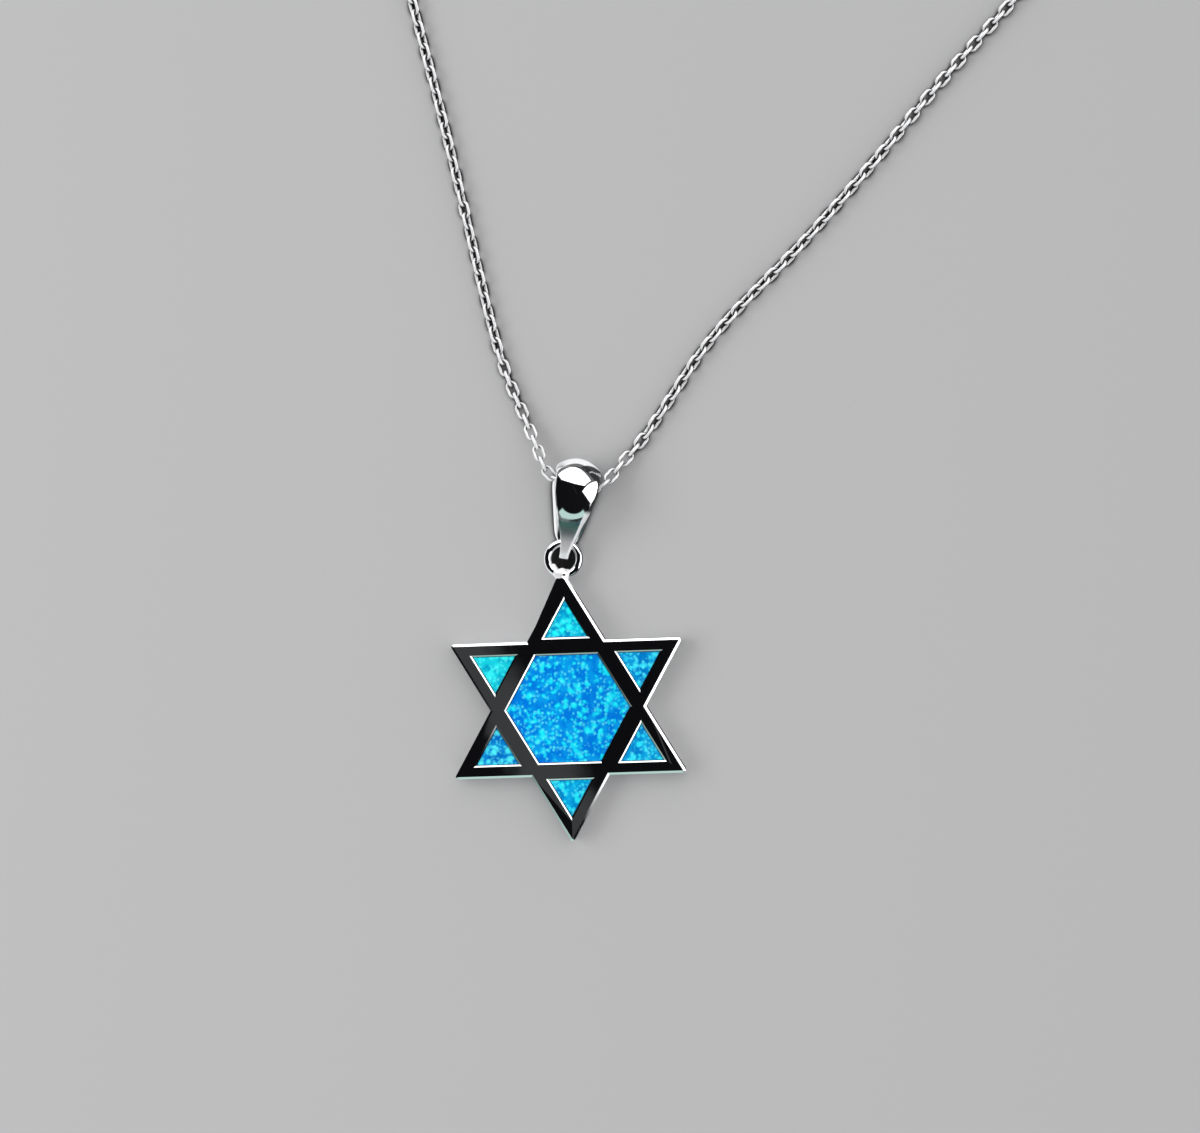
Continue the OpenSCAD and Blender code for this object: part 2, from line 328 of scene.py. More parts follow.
def slab(node, name):
    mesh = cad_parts[node].data
    low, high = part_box(node)
    corners = []
    for vertex in mesh.vertices:
        flat = Vector((vertex.co.x, vertex.co.y, 0))
        if all((flat - corner).length > SAME_CORNER for corner in corners):
            corners.append(flat)
    middle = sum(corners, Vector()) / len(corners)
    radius = (corners[0] - middle).length
    turn = math.atan2(corners[0].y - middle.y, corners[0].x - middle.x)
    bpy.ops.mesh.primitive_circle_add(
        vertices=len(corners), radius=radius, fill_type="NGON", location=(middle.x, middle.y, low.z))
    piece = bpy.context.object
    # The circle's first corner lies towards +Y before it is turned
    piece.rotation_euler.z = turn - math.pi / 2
    edit(piece)
    bpy.ops.mesh.select_all(action="SELECT")
    bpy.ops.mesh.extrude_region_move(TRANSFORM_OT_translate={"value": (0, 0, high.z - low.z)})
    choose(piece, "EDGE", lambda at: at.z > (high.z - low.z) * 0.9)
    bpy.ops.mesh.bevel(offset=RIM_ROUNDING, segments=3, affect="EDGES")
    leave_edit()
    settle(piece, name)
    smooth_by_angle(piece, 40)
    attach(piece, "root")
    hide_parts(node)
    return piece


opal_middle = slab("opal_center", "opal_middle")
opal_points = [slab(f"opal_{number}", f"opal_point_{number}") for number in range(1, 7)]
print("opals:", 1 + len(opal_points), "slabs, faces on the middle one", len(opal_middle.data.polygons))

# %% [markdown]
# ## The chain's route
# The chain leaves its clasp behind the neck, comes down the left side, passes through the bail and goes
# back up the right side. A smooth curve through a few chosen points gives its middle line. The points
# repeat the CAD model's, apart from three left of the bail, which lie a little further up, as they do in
# the photograph. A point's y counts from the middle of the hanging ring, and its third number says how
# far the chain is lifted off the surface there.

# %% Points of the route, in millimetres
ROUTE = [
    (20, 170.6, 0), (6.5, 167.4, 0), (-6, 158.6, 0), (-15.4, 145.6, 0), (-20.6, 129.6, 0),
    (-21.8, 112.6, 0), (-20.3, 95.2, 0), (-17.2, 77.7, 0), (-14, 61.7, 0), (-11.4, 48.5, 0),
    (-9.3, 39, 0), (-7.5, 30.2, 0), (-5.8, 21.6, 0), (-4.5, 16.4, 0), (-3, 12.4, 0.1),
    (-2, 9.8, 0.6), (-1.1, 7.5, 1), (0.6, 6.4, 1.1), (3.2, 6, 1), (4.3, 6.85, 0.7),
    (5.4, 8.1, 0.3), (7.1, 10, 0), (9.6, 13.4, 0), (12.4, 17.3, 0), (15.6, 20.8, 0),
    (21, 25.9, 0), (27, 32.2, 0), (33.5, 39.4, 0), (40, 46.2, 0), (48.5, 55.2, 0),
    (57.5, 66.7, 0), (65, 81.2, 0), (69.4, 97.7, 0), (70.2, 114.6, 0), (67.2, 130.6, 0),
    (60.6, 145.2, 0), (50.5, 157.6, 0), (40, 166.2, 0), (28.4, 170.6, 0)
]
STEPS_BETWEEN_POINTS = 24


def curve_point(a, b, c, d, t):
    """The place at share t between b and c on a smooth curve through a, b, c and d."""
    bend = 2 * a - 5 * b + 4 * c - d
    twist = 3 * b - a - 3 * c + d
    return (2 * b + (c - a) * t + bend * t ** 2 + twist * t ** 3) / 2


def smooth_route(stops, steps):
    ends = [2 * stops[0] - stops[1], *stops, 2 * stops[-1] - stops[-2]]
    path = []
    for i in range(len(stops) - 1):
        for k in range(steps):
            path.append(curve_point(*ends[i:i + 4], k / steps))
    path.append(stops[-1])
    return path


stops = [Vector((x, y + ring_middle_y / MM, height)) for x, y, height in ROUTE]
path = smooth_route(stops, STEPS_BETWEEN_POINTS)
path = [Vector((p.x, p.y, max(p.z, 0))) * MM for p in path]
lengths = [0.0]
for i in range(1, len(path)):
    lengths.append(lengths[-1] + (path[i] - path[i - 1]).length)
lift = max(place.z for place in path)
print("chain: route", round(lengths[-1] / MM, 1), "mm, lifted", round(lift / MM, 1), "mm in the bail")

# %% [markdown]
# Each link is placed by its distance along the route, so a helper tells where a distance leads to.

# %% Walking along the route
def along_route(distance):
    """The place and the direction at a distance from the start of the route."""
    k = 1
    while k < len(lengths) - 1 and lengths[k] < distance:
        k += 1
    share = (distance - lengths[k - 1]) / (lengths[k] - lengths[k - 1])
    place = path[k - 1].lerp(path[k], share)
    before = path[max(k - 3, 0)]
    after = path[min(k + 2, len(path) - 1)]
    return place, (after - before).normalized()


print("chain: half way it is at", [round(v / MM, 1) for v in along_route(lengths[-1] / 2)[0]], "mm")

# %% [markdown]
# ## The links
# A cable chain is a row of equal oval links, each turned a right angle to the next, so that lying loose
# they rest at about 45 degrees to the surface. One link is a small torus whose two halves are pulled
# apart. It is copied along the route at the pitch at which each link just pulls on the next, with a
# little unevenness in the turn, as real ones have. There are hundreds of them, so one link has only a few
# dozen faces and smooth shading does the rest.

# %% Model one link
LINK_LENGTH = 1.57 * MM
LINK_WIDTH = 1.07 * MM
LINK_WIRE = 0.285 * MM
bend_r = (LINK_WIDTH - LINK_WIRE) / 2
bpy.ops.mesh.primitive_torus_add(
    major_segments=14, minor_segments=6, major_radius=bend_r, minor_radius=LINK_WIRE / 2,
    location=(0, 0, 0))
link = bpy.context.object
pull = (LINK_LENGTH - LINK_WIDTH) / 2
edit(link)
for side in (-1, 1):
    choose(link, "VERT", lambda at: at.x * side > 0.02 * MM)
    bpy.ops.transform.translate(value=(side * pull, 0, 0))
leave_edit()
settle(link, "link")
print("link: faces", len(link.data.polygons), "length", size_in_mm(link, 0), "mm")

# %% [markdown]
# A real chain twists a little along its way. Where it is twisted by 45 degrees, all its links lean alike
# and their holes make one even row. Where it isn't, every second link lies flat, with its neighbours
# standing on edge. The table says how flat the chain lies at some places of the photograph, from 0, all
# leaning, to 1, flat and on edge.

# %% Twist of the chain
# Columns: distance along the route as a share, flatness
TWIST = [
    (0.0, 1.0), (0.02, 0.2), (0.2, 0.3), (0.3, 0.15), (0.36, 0.1), (0.404, 0.1), (0.409, 0.5),
    (0.414, 0.1), (0.436, 0.15), (0.448, 0.9), (0.464, 1.0), (0.486, 1.0), (0.491, 0.9), (0.501, 0.2),
    (0.53, 0.08), (0.572, 0.12), (0.588, 0.65), (0.6, 0.75), (0.64, 0.4), (0.8, 0.1), (0.98, 0.3),
    (1.0, 1.0)
]


def from_table(table, share):
    """The value at a share of the way, smooth between the rows of a table."""
    for (a, low), (b, high) in zip(table, table[1:]):
        if share <= b:
            t = (share - a) / (b - a)
            return low + (high - low) * t * t * (3 - 2 * t)
    return table[-1][1]


print("chain: flatness in the bail", round(from_table(TWIST, 0.49), 2))

# %% [markdown]
# Each link is turned a right angle from the one before it, and the lean from the table and a little
# unevenness are added. The number of links is odd, so that the first and the last one lie alike.

# %% Copy the link along the route
LINK_PITCH = LINK_LENGTH - 2 * LINK_WIRE
MOST_LEAN = 45
# How far a link may turn either way from its neighbours' row, in degrees
LOOSE_TURN = 6
half_count = round(lengths[-1] / LINK_PITCH / 2)
link_count = 2 * half_count + 1
link_copies = []
for number in range(link_count):
    share = number / (link_count - 1)
    place, direction = along_route(lengths[-1] * share)
    lean = MOST_LEAN * (1 - from_table(TWIST, share))
    # The links that stand steepest carry the chain
    place.z += LINK_WIRE / 2 + bend_r * math.cos(math.radians(max(lean - LOOSE_TURN, 0)))
    loose = random.uniform(-LOOSE_TURN, LOOSE_TURN) * lean / MOST_LEAN
    roll = lean + loose + (0 if number % 2 else 90)
    aside = direction.cross(Vector((0, 0, 1))).normalized()
    up = aside.cross(direction)
    upright = Matrix((direction, -aside, up)).transposed().to_4x4()
    mesh = link.data.copy()
    mesh.transform(Matrix.Translation(place) @ upright @ Matrix.Rotation(math.radians(roll), 4, "X"))
    one = bpy.data.objects.new(f"link_{number}", mesh)
    bpy.context.scene.collection.objects.link(one)
    link_copies.append(one)
bpy.data.objects.remove(link)

bpy.ops.object.select_all(action="DESELECT")
for one in link_copies:
    one.select_set(True)
bpy.context.view_layer.objects.active = link_copies[0]
bpy.ops.object.join()
chain = bpy.context.object
chain.name = "cable_chain"
chain.data.name = "cable_chain"
smooth_by_angle(chain, 180)
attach(chain, "root")
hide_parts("chain")
print("chain:", link_count, "links, faces", len(chain.data.polygons))

# %% [markdown]
# ## Materials
# Every material is a small graph of nodes. These helpers make nodes and link them, so that the recipes
# below stay short. What more than one material uses becomes a node group.

# %% Node helpers
def new_material(name):
    material = bpy.data.materials.new(name)
    material.use_nodes = True
    nodes = material.node_tree.nodes
    return material, nodes, material.node_tree.links, nodes["Principled BSDF"]


def new_group(name, inputs, outputs):
    """An empty node group. Its inputs and outputs are given as pairs of a name and a kind of socket."""
    group = bpy.data.node_groups.new(name, "ShaderNodeTree")
    for socket, kind in inputs:
        group.interface.new_socket(socket, in_out="INPUT", socket_type="NodeSocket" + kind)
    for socket, kind in outputs:
        group.interface.new_socket(socket, in_out="OUTPUT", socket_type="NodeSocket" + kind)
    entry = group.nodes.new("NodeGroupInput")
    leave = group.nodes.new("NodeGroupOutput")
    return group, group.nodes, group.links, entry.outputs, leave.inputs


def add_node(nodes, kind, **settings):
    node = nodes.new(kind)
    for key, value in settings.items():
        setattr(node, key, value)
    return node


def feed(links, socket, value):
    """Sets a socket to a number or a colour, or links another socket to it."""
    if isinstance(value, (int, float)):
        socket.default_value = value
    elif isinstance(value, tuple):
        socket.default_value = (*value, 1)
    else:
        links.new(value, socket)


# %% [markdown]
# A mask is a value that is 1 in some places and 0 in others. It is made by turning a range of some value
# into the range from 0 to 1. Two masks are put together by multiplying them or by taking the larger.

# %% Values, masks and mixtures
def separate(nodes, links, vector):
    """The X, Y and Z of a vector."""
    node = add_node(nodes, "ShaderNodeSeparateXYZ")
    links.new(vector, node.inputs["Vector"])
    return node.outputs["X"], node.outputs["Y"], node.outputs["Z"]


def noise(nodes, links, place, scale, detail):
    texture = add_node(nodes, "ShaderNodeTexNoise")
    for name, value in (("Vector", place), ("Scale", scale), ("Detail", detail)):
        feed(links, texture.inputs[name], value)
    return texture.outputs["Fac"]


def math_node(nodes, links, operation, *values):
    node = add_node(nodes, "ShaderNodeMath", operation=operation)
    for socket, value in zip(node.inputs, values):
        feed(links, socket, value)
    return node.outputs["Value"]


def both(nodes, links, a, b):
    """A mask where both masks are."""
    return math_node(nodes, links, "MULTIPLY", a, b)


def either(nodes, links, a, b):
    """A mask where one mask or the other is."""
    return math_node(nodes, links, "MAXIMUM", a, b)


def outside(nodes, links, mask):
    """A mask where this one isn't."""
    return math_node(nodes, links, "SUBTRACT", 1.0, mask)


def map_range(nodes, links, value, low, high, to_low, to_high):
    """Turns one range of a value softly into another. It stays at the ends outside the range."""
    node = add_node(nodes, "ShaderNodeMapRange", interpolation_type="SMOOTHSTEP")
    names = ("Value", "From Min", "From Max", "To Min", "To Max")
    for name, given in zip(names, (value, low, high, to_low, to_high)):
        feed(links, node.inputs[name], given)
    return node.outputs["Result"]


def mix(nodes, links, kind, share, a, b):
    """Mixes two colours (kind RGBA) or two numbers (kind FLOAT). The share is that of the second one."""
    node = add_node(nodes, "ShaderNodeMix", data_type=kind)
    for name, value in (("Factor", share), ("A", a), ("B", b)):
        feed(links, node.inputs[name], value)
    return node.outputs["Result"]


# %% [markdown]
# ## Polished silver
# Silver is a metal, so nearly all of its look is what it mirrors. A hand-polished face is never quite
# flat or clean: broad, shallow waves bend the reflections, and fine specks are a little duller. Both come
# from noise on the object's own coordinates, and both are kept faint. All the silver has them, so they
# are a node group, and each material sets how rough it is, how many specks it has and how wide its waves
# are.

# %% Marks of polishing as a node group
SPECK_SIZE = 0.12 * MM
# Specks begin at this value of the noise, less the share of specks, and are full at the second one
SPECK_START = 0.72
SPECK_FULL = 0.8
DULLER = 0.25


def polish_marks():
    group, nodes, links, given, wanted = new_group(
        "polish_marks",
        [("Place", "Vector"), ("Roughness", "Float"), ("Speck Share", "Float"),
         ("Waves Per Metre", "Float")],
        [("Roughness", "Float"), ("Waves", "Float")])
    specks = noise(nodes, links, given["Place"], 1 / SPECK_SIZE, 3.0)
    start = math_node(nodes, links, "SUBTRACT", SPECK_START, given["Speck Share"])
    duller = math_node(nodes, links, "ADD", given["Roughness"], DULLER)
    rough = map_range(nodes, links, specks, start, SPECK_FULL, given["Roughness"], duller)
    links.new(rough, wanted["Roughness"])
    links.new(noise(nodes, links, given["Place"], given["Waves Per Metre"], 1.0), wanted["Waves"])
    return group


polish = polish_marks()
print("polish marks: nodes", len(polish.nodes))


# %% Silver
def silver(name, colour, roughness, wave_height, wave_size, speck_share, matt=0.0):
    """Silver as a material. The matt share scatters light evenly, as a worn or frosted surface does."""
    material, nodes, links, shader = new_material(name)
    marks = add_node(nodes, "ShaderNodeGroup", node_tree=polish)
    links.new(add_node(nodes, "ShaderNodeTexCoord").outputs["Object"], marks.inputs["Place"])
    marks.inputs["Roughness"].default_value = roughness
    marks.inputs["Speck Share"].default_value = speck_share
    marks.inputs["Waves Per Metre"].default_value = 1 / wave_size
    bump = add_node(nodes, "ShaderNodeBump")
    bump.inputs["Strength"].default_value = 1.0
    bump.inputs["Distance"].default_value = wave_height
    links.new(marks.outputs["Waves"], bump.inputs["Height"])
    shader.inputs["Base Color"].default_value = (*colour, 1)
    shader.inputs["Metallic"].default_value = 1.0 - matt
    links.new(marks.outputs["Roughness"], shader.inputs["Roughness"])
    links.new(bump.outputs["Normal"], shader.inputs["Normal"])
    return material


POLISHED = (0.93, 0.94, 0.95)
RUBBED = (0.97, 0.97, 0.975)
FROSTED = (0.97, 0.97, 0.97)
BAIL_ROUGHNESS = 0.06
# Each one's name, colour, roughness, height of its waves, their width, and its share of specks
star_silver = silver("star_silver", POLISHED, 0.025, 0.004 * MM, 2.5 * MM, 0.02)
bail_silver = silver("bail_silver", POLISHED, BAIL_ROUGHNESS, 0.004 * MM, 2.0 * MM, 0.02)
wire_silver = silver("wire_silver", RUBBED, 0.28, 0.002 * MM, 1.0 * MM, 0.02, matt=0.75)
solder_silver = silver("solder_silver", FROSTED, 0.45, 0.02 * MM, 0.4 * MM, 0.05, matt=0.6)
print("silvers:", [metal.name for metal in (star_silver, bail_silver, wire_silver, solder_silver)])

# %% [markdown]
# The narrow foot of the bail rubs against the ring each time the pendant swings, so it is duller and
# paler than the polished dome above it. The neck gets a painted dark reflection in its colour.
# Both are masks along the bail, made from its own coordinates, which are turned until the bail stands
# upright.

# %% Places on the bail
nodes, links = bail_silver.node_tree.nodes, bail_silver.node_tree.links
shader = nodes["Principled BSDF"]
turned = add_node(nodes, "ShaderNodeVectorRotate", rotation_type="Z_AXIS")
turned.inputs["Angle"].default_value = math.radians(BAIL_LEAN)
turned.inputs["Center"].default_value = (0, ring_middle_y, 0)
links.new(add_node(nodes, "ShaderNodeTexCoord").outputs["Object"], turned.inputs["Vector"])
bail_x, bail_y, bail_z = separate(nodes, links, turned.outputs["Vector"])


def up_the_bail(low, high, to_low, to_high):
    """A value that changes between two distances up from the middle of the ring, in millimetres."""
    return map_range(
        nodes, links, bail_y, ring_middle_y + low * MM, ring_middle_y + high * MM, to_low, to_high)


def across_the_bail(low, high, to_low, to_high):
    """A value that changes between two distances to the right of the bail's middle, in millimetres."""
    return map_range(nodes, links, bail_x, low * MM, high * MM, to_low, to_high)


# The back leaf lies lower than the front one
front_leaf = map_range(nodes, links, bail_z, 1.1 * MM, 1.5 * MM, 0.0, 1.0)
back_leaf = outside(nodes, links, front_leaf)
print("bail: its masks count from y", round(ring_middle_y / MM, 2), "mm")

# %% [markdown]
# Where the silver is worn, it scatters light evenly, so its Metallic value falls. Painted highlights run
# along
# the edges of the foot: two matt lines that spread apart on their way up. The back leaf, seen beside the
# front one, gets a painted highlight on its left rim, matt in the same way.

# %% The worn foot and the painted highlights
# Columns: side, spread for each step up, where the line starts beside the ring's middle, strength
PAINTED_HIGHLIGHT_LINES = ((1, 0.29, 0.08 * MM, 0.95), (-1, 0.18, 0.24 * MM, 0.6))
LINE_SOFTNESS = 0.08 * MM
worn = both(nodes, links, up_the_bail(0.2, 3.1, 0.5, 0.0), front_leaf)
from_ring = math_node(nodes, links, "SUBTRACT", bail_y, ring_middle_y)
# Painted highlights: matt lines that stand in for pale reflections along the foot's edges
painted_highlight = 0.0
for side, spread, start, strength in PAINTED_HIGHLIGHT_LINES:
    aside = math_node(nodes, links, "MULTIPLY", bail_x, side)
    aside = math_node(nodes, links, "MULTIPLY_ADD", from_ring, -spread, aside)
    line = map_range(nodes, links, aside, start, start + LINE_SOFTNESS, 0.0, strength)
    painted_highlight = either(nodes, links, painted_highlight, line)
below_dome = both(nodes, links, up_the_bail(3.9, 4.4, 1.0, 0.0), front_leaf)
painted_highlight = both(nodes, links, painted_highlight, below_dome)
# Painted highlight on the back leaf's left rim
painted_left_rim_highlight = both(nodes, links, across_the_bail(-1.0, -0.8, 0.9, 0.0), back_leaf)
matt = either(nodes, links, either(nodes, links, worn, painted_highlight), painted_left_rim_highlight)
links.new(outside(nodes, links, matt), shader.inputs["Metallic"])
print("bail: bright lines", len(PAINTED_HIGHLIGHT_LINES))

# %% [markdown]
# The foot is also rougher than the dome. The neck between them gets a painted dark reflection, but not
# where the painted highlights run, and the right rim of the back leaf gets painted shade in the same
# colour.

# %% The rough foot and the painted dark neck and rim
# Painted dark reflection on the neck and painted shade on the back leaf's right rim
PAINTED_DARK_TONE = (0.12, 0.2, 0.19)
rough = both(nodes, links, up_the_bail(2.6, 3.4, 0.42, BAIL_ROUGHNESS), front_leaf)
links.new(math_node(nodes, links, "MAXIMUM", rough, BAIL_ROUGHNESS), shader.inputs["Roughness"])
painted_neck = both(nodes, links, up_the_bail(3.0, 3.5, 1.0, 0.0), up_the_bail(1.4, 2.9, 0.0, 1.0))
painted_neck = both(nodes, links, painted_neck, front_leaf)
painted_neck = both(nodes, links, painted_neck, outside(nodes, links, painted_highlight))
# Painted shade on the back leaf's right rim
painted_right_rim_shade = both(nodes, links, across_the_bail(0.8, 1.0, 0.0, 1.0), back_leaf)
painted_dark = either(nodes, links, painted_neck, painted_right_rim_shade)
links.new(mix(nodes, links, "RGBA", painted_dark, POLISHED, PAINTED_DARK_TONE), shader.inputs["Base Color"])
print("bail silver: nodes", len(nodes))

# %% [markdown]
# The wire of the chain keeps its pale colour on top. Its flanks are painted dark, a painted reflection of
# the dark room, and the joints between the links get painted shade, darker still. The height of the
# surface's normal tells a flank, and ambient occlusion finds the joints.

# %% The wire's painted dark flanks and painted shade in the joints
JOINT_REACH = 0.3 * MM
# Painted dark reflection on the wire's flanks and painted shade in its joints
PAINTED_WIRE_DARK = (0.03, 0.03, 0.035)
nodes, links = wire_silver.node_tree.nodes, wire_silver.node_tree.links
normal = add_node(nodes, "ShaderNodeNewGeometry").outputs["Normal"]
_, _, facing_up = separate(nodes, links, normal)
painted_dark_flank = map_range(nodes, links, facing_up, 0.15, 0.65, 0.85, 0.0)
joints = add_node(nodes, "ShaderNodeAmbientOcclusion", samples=8)
joints.inputs["Distance"].default_value = JOINT_REACH
painted_joint_shade = map_range(nodes, links, joints.outputs["AO"], 0.55, 0.85, 1.0, 0.0)
painted_dark = either(nodes, links, painted_dark_flank, painted_joint_shade)
links.new(mix(nodes, links, "RGBA", painted_dark, RUBBED, PAINTED_WIRE_DARK), nodes["Principled BSDF"].inputs["Base Color"])
print("wire silver: nodes", len(nodes))

# %% [markdown]
# The star frame and the clasp keep their CAD shapes and only get a finish.

# %% Give each piece its silver
def give(piece, material):
    piece.data.materials.clear()
    piece.data.materials.append(material)


FINISHES = [
    (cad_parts["star_frame"], star_silver),
    (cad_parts["clasp"], wire_silver),
    (bail, bail_silver),
    (chain, wire_silver),
    (solder, solder_silver)
]
for piece, metal in FINISHES:
    give(piece, metal)
print("silver on", len(FINISHES), "pieces")

# %% [markdown]
# ## Synthetic opal
# Lab-grown opal is a deep blue ground full of small flakes that flash brighter blue, cyan and sea green.
# They are soft at the edge, a few tenths of a millimetre wide, and crowd together in some places. A cell
# texture makes flakes: its distance rounds them off and its random colour decides which of them flash.

# %% A layer of flakes as a node group
def flake_layer():
    group, nodes, links, given, wanted = new_group(
        "flake_layer", [("Place", "Vector"), ("Per Metre", "Float"), ("Crowding", "Float")],
        [("Flakes", "Float")])
    scaled = add_node(nodes, "ShaderNodeVectorMath", operation="SCALE")
    links.new(given["Place"], scaled.inputs[0])
    links.new(given["Per Metre"], scaled.inputs["Scale"])
    # Noise pushes the places about, so that flakes are ragged and not round
    push = add_node(nodes, "ShaderNodeTexNoise")
    push.inputs["Scale"].default_value = 1.7
    push.inputs["Detail"].default_value = 2.0
    links.new(scaled.outputs["Vector"], push.inputs["Vector"])
    pushed = add_node(nodes, "ShaderNodeVectorMath", operation="MULTIPLY_ADD")
    links.new(push.outputs["Color"], pushed.inputs[0])
    pushed.inputs[1].default_value = (0.5, 0.5, 0.5)
    links.new(scaled.outputs["Vector"], pushed.inputs[2])
    cells = add_node(nodes, "ShaderNodeTexVoronoi", voronoi_dimensions="3D", feature="SMOOTH_F1")
    cells.inputs["Scale"].default_value = 1.0
    cells.inputs["Smoothness"].default_value = 0.5
    links.new(pushed.outputs["Vector"], cells.inputs["Vector"])
    chance = add_node(nodes, "ShaderNodeSeparateColor")
    links.new(cells.outputs["Color"], chance.inputs["Color"])
    picked = math_node(nodes, links, "ADD", chance.outputs["Red"], given["Crowding"])
    lit = map_range(nodes, links, picked, 0.85, 1.05, 0.0, 1.0)
    rounded = map_range(nodes, links, cells.outputs["Distance"], 0.2, 0.6, 1.0, 0.0)
    links.new(both(nodes, links, lit, rounded), wanted["Flakes"])
    return group


flakes = flake_layer()
print("flake layer: nodes", len(flakes.nodes))

# %% [markdown]
# Coarse, fine and tiny flakes are added over a mottled ground. Broad noise crowds them together in some
# places. The recipe is a node group too, so that the middle slab and the points can have their own
# colours.

# %% The play of colour as a node group
MOTTLE_SIZE = 1.1 * MM
CROWD_SIZE = 1.5 * MM
# Columns: width of a cell in millimetres, strength of its flakes, colour
FLAKES = ((0.62, 0.95, "Bright"), (0.38, 0.8, "Bright"), (0.3, 0.55, "Flash"))


def play_of_colour():
    group, nodes, links, given, wanted = new_group(
        "play_of_colour",
        [("Place", "Vector"), ("Deep", "Color"), ("Middle", "Color"), ("Bright", "Color"),
         ("Flash", "Color"), ("Crowding", "Float")],
        [("Colour", "Color")])
    ground = noise(nodes, links, given["Place"], 1 / MOTTLE_SIZE, 2.0)
    mottle = map_range(nodes, links, ground, 0.38, 0.62, 0.0, 1.0)
    colour = mix(nodes, links, "RGBA", mottle, given["Deep"], given["Middle"])
    crowd = noise(nodes, links, given["Place"], 1 / CROWD_SIZE, 1.0)
    crowding = math_node(nodes, links, "MULTIPLY_ADD", crowd, 1.6, given["Crowding"])
    for width, strength, shade in FLAKES:
        layer = add_node(nodes, "ShaderNodeGroup", node_tree=flakes)
        layer.inputs["Per Metre"].default_value = 1 / (width * MM)
        links.new(given["Place"], layer.inputs["Place"])
        links.new(crowding, layer.inputs["Crowding"])
        share = math_node(nodes, links, "MULTIPLY", layer.outputs["Flakes"], strength)
        colour = mix(nodes, links, "RGBA", share, colour, given[shade])
    links.new(colour, wanted["Colour"])
    return group


opal_play = play_of_colour()
print("play of colour: nodes", len(opal_play.nodes))

# %% [markdown]
# The opal itself is the group's colours under a clear polish. The slabs are cut from pieces that differ a
# little, so each point has its own colours.

# %% Opal
def tone(*levels):
    """A colour from 0 to 255 as a screen shows it, turned into linear light."""
    return tuple(((c / 255 + 0.055) / 1.055) ** 2.4 if c > 10 else c / 255 / 12.92 for c in levels)


def opal(name, deep, middle, bright, flash, crowding):
    material, nodes, links, shader = new_material(name)
    at = add_node(nodes, "ShaderNodeTexCoord").outputs["Object"]
    play = add_node(nodes, "ShaderNodeGroup", node_tree=opal_play)
    links.new(at, play.inputs["Place"])
    for socket, colour in (("Deep", deep), ("Middle", middle), ("Bright", bright), ("Flash", flash)):
        play.inputs[socket].default_value = (*tone(*colour), 1)
    play.inputs["Crowding"].default_value = crowding
    links.new(play.outputs["Colour"], shader.inputs["Base Color"])
    shader.inputs["Roughness"].default_value = 0.3
    shader.inputs["Specular IOR Level"].default_value = 0.0
    shader.inputs["Coat Weight"].default_value = 0.5
    shader.inputs["Coat Roughness"].default_value = 0.05
    return material


PALE_FLASH = (95, 250, 255)
middle_opal = opal("middle_opal", (2, 122, 222), (8, 155, 234), (28, 238, 252), PALE_FLASH, -0.38)
# The points, from the top one clockwise. Columns: deep, middle and bright colour, crowding of the flakes
POINT_COLOURS = [
    ((6, 148, 206), (14, 200, 232), (36, 252, 254), -0.22),
    ((3, 124, 204), (10, 156, 222), (56, 232, 254), -0.36),
    ((6, 130, 206), (14, 164, 228), (46, 234, 254), -0.34),
    ((4, 136, 204), (8, 168, 228), (38, 238, 254), -0.33),
    ((6, 104, 196), (10, 138, 216), (80, 244, 254), -0.4),
    ((6, 158, 200), (24, 212, 228), (56, 252, 252), -0.2)
]
give(opal_middle, middle_opal)
for number, (deep, middle, bright, crowding) in enumerate(POINT_COLOURS, start=1):
    point_opal = opal(f"point_opal_{number}", deep, middle, bright, PALE_FLASH, crowding)
    give(opal_points[number - 1], point_opal)
print("opal on", 1 + len(opal_points), "slabs")

# %% [markdown]
# ## The surface
# A plain pale surface lies under everything. Two things about it are for the silver's sake. In the narrow
# gaps of the chain the surface's colour is darkened as painted shade. And mirrored in silver, the surface
# shows a painted pool of light: only the part near the bail is bright and the rest is dim, as in a room
# where the window light falls on one spot.

# %% Surface
bpy.ops.mesh.primitive_plane_add(size=6.0, location=(0, 0, 0))
floor = bpy.context.object
floor.name = "floor"
floor_material, nodes, links, shader = new_material("pale_surface")
shader.inputs["Roughness"].default_value = 0.9
shader.inputs["Specular IOR Level"].default_value = 0.1
give(floor, floor_material)
at = add_node(nodes, "ShaderNodeTexCoord").outputs["Object"]
floor_x, floor_y, _ = separate(nodes, links, at)


def distance_from(y):
    """How far a place on the surface lies from a point on its Y axis."""
    node = add_node(nodes, "ShaderNodeVectorMath", operation="DISTANCE")
    links.new(at, node.inputs[0])
    node.inputs[1].default_value = (0.0, y, 0.0)
    return node.outputs["Value"]


print("surface:", round(floor.dimensions.x, 1), "m wide")

# %% [markdown]
# Ambient occlusion finds the gaps, and the surface's colour is darkened there as painted shade. It looks
# furthest up in the hole of the ring, which lies deep, and further than elsewhere round the bail too,
# because the chain rises there. The star's own edge keeps its soft rendered shadow, so that only the
# ring's hole and what lies beyond the star have painted dark gaps.

# %% Painted shade in the gaps
GAP_REACH = 0.6 * MM
NEAR_BAIL_REACH = 0.9 * MM
RING_REACH = 3.5 * MM
